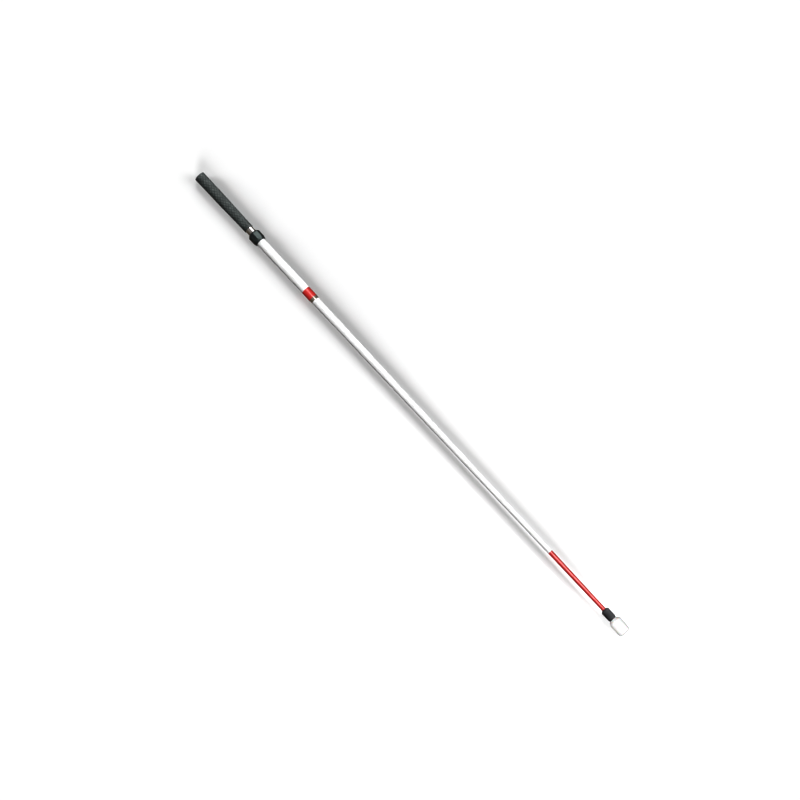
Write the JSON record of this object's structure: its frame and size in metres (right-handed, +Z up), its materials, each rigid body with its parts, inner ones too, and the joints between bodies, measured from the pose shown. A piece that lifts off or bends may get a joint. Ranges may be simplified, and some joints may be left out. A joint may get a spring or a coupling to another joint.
{
  "type": "white cane",
  "caption": "Long straight white and red cane with a rubber grip, a length-adjusting twist lock, a tapered shaft and a rolling tip.",
  "frame": {"origin": "centre of the cane's length and width, at the floor it lies on", "axes": "+X along the cane from the butt of the grip to the roller tip, +Z up"},
  "size_m": [1.3, 0.026, 0.026],
  "materials": {
    "grip_rubber": "matt, fine texture",
    "grip_tape": "matt",
    "polished_tube": "polished",
    "lock_black": "satin black",
    "natural_nylon": "matt",
    "spring_steel": "blued",
    "white_film": "glossy reflective film",
    "red_film": "glossy reflective film",
    "ring_metal": "polished, dark",
    "tube_metal": "anodised",
    "ferrule_rubber": "matt",
    "bearing_steel": "ground",
    "tip_nylon": "satin white"
  },
  "bodies": {
    "shaft": {"lock_body": "lock_black", "upper_tube": "tube_metal", "upper_white_sleeve": "white_film", "red_band": "red_film", "end_ring": "ring_metal", "joint_spigot": "tube_metal", "lower_shaft": "tube_metal", "lower_white_sleeve": "white_film", "lower_red_sleeve": "red_film", "tip_ferrule": "ferrule_rubber", "ferrule_insert": "tube_metal", "tip_axle": "bearing_steel", "axle_nut": "bearing_steel", "upper_bearing_inner_race": "bearing_steel", "lower_bearing_inner_race": "bearing_steel", "bearing_spacer": "bearing_steel"},
    "guide": {"guide_sleeve": "natural_nylon"},
    "handle": {"grip_sleeve": "grip_rubber", "grip_tape": "grip_tape", "handle_tube": "polished_tube", "guide_retaining_ring": "spring_steel", "tube_end_plug": "natural_nylon"},
    "clamp": {"clamp_ring": "natural_nylon"},
    "nut": {"lock_nut": "lock_black"},
    "cages": {"upper_bearing_balls": "bearing_steel", "upper_bearing_cage": "bearing_steel", "lower_bearing_balls": "bearing_steel", "lower_bearing_cage": "bearing_steel"},
    "tip": {"roller_tip": "tip_nylon", "upper_bearing_outer_race": "bearing_steel", "lower_bearing_outer_race": "bearing_steel", "dust_shield": "natural_nylon"}
  },
  "joints": [
    {"name": "handle_slide", "type": "slide", "parent": "shaft", "child": "guide", "axis": [-1, 0, 0], "range_m": [-0.0115, 0.08]},
    {"name": "handle_turn", "type": "hinge", "parent": "guide", "child": "handle", "pos_m": [-0.3635, 0, 0.013], "axis": [-1, 0, 0], "continuous": true},
    {"name": "nut_travel", "type": "slide", "parent": "shaft", "child": "clamp", "axis": [-1, 0, 0], "range_m": [0, 0.000375]},
    {"name": "nut_turn", "type": "hinge", "parent": "clamp", "child": "nut", "pos_m": [-0.466, 0, 0.013], "axis": [-1, 0, 0], "range_deg": [0, 90]},
    {"name": "tip_spin", "type": "hinge", "parent": "shaft", "child": "tip", "pos_m": [0.6265, 0, 0.013], "axis": [1, 0, 0], "continuous": true},
    {"name": "cage_spin", "type": "hinge", "parent": "shaft", "child": "cages", "pos_m": [0.6265, 0, 0.013], "axis": [1, 0, 0], "continuous": true}
  ],
  "couplings": [
    {"joint": "nut_turn", "follows": "nut_travel", "rad_per_m": 4188.8},
    {"joint": "cage_spin", "follows": "tip_spin", "ratio": 0.62778}
  ]
}
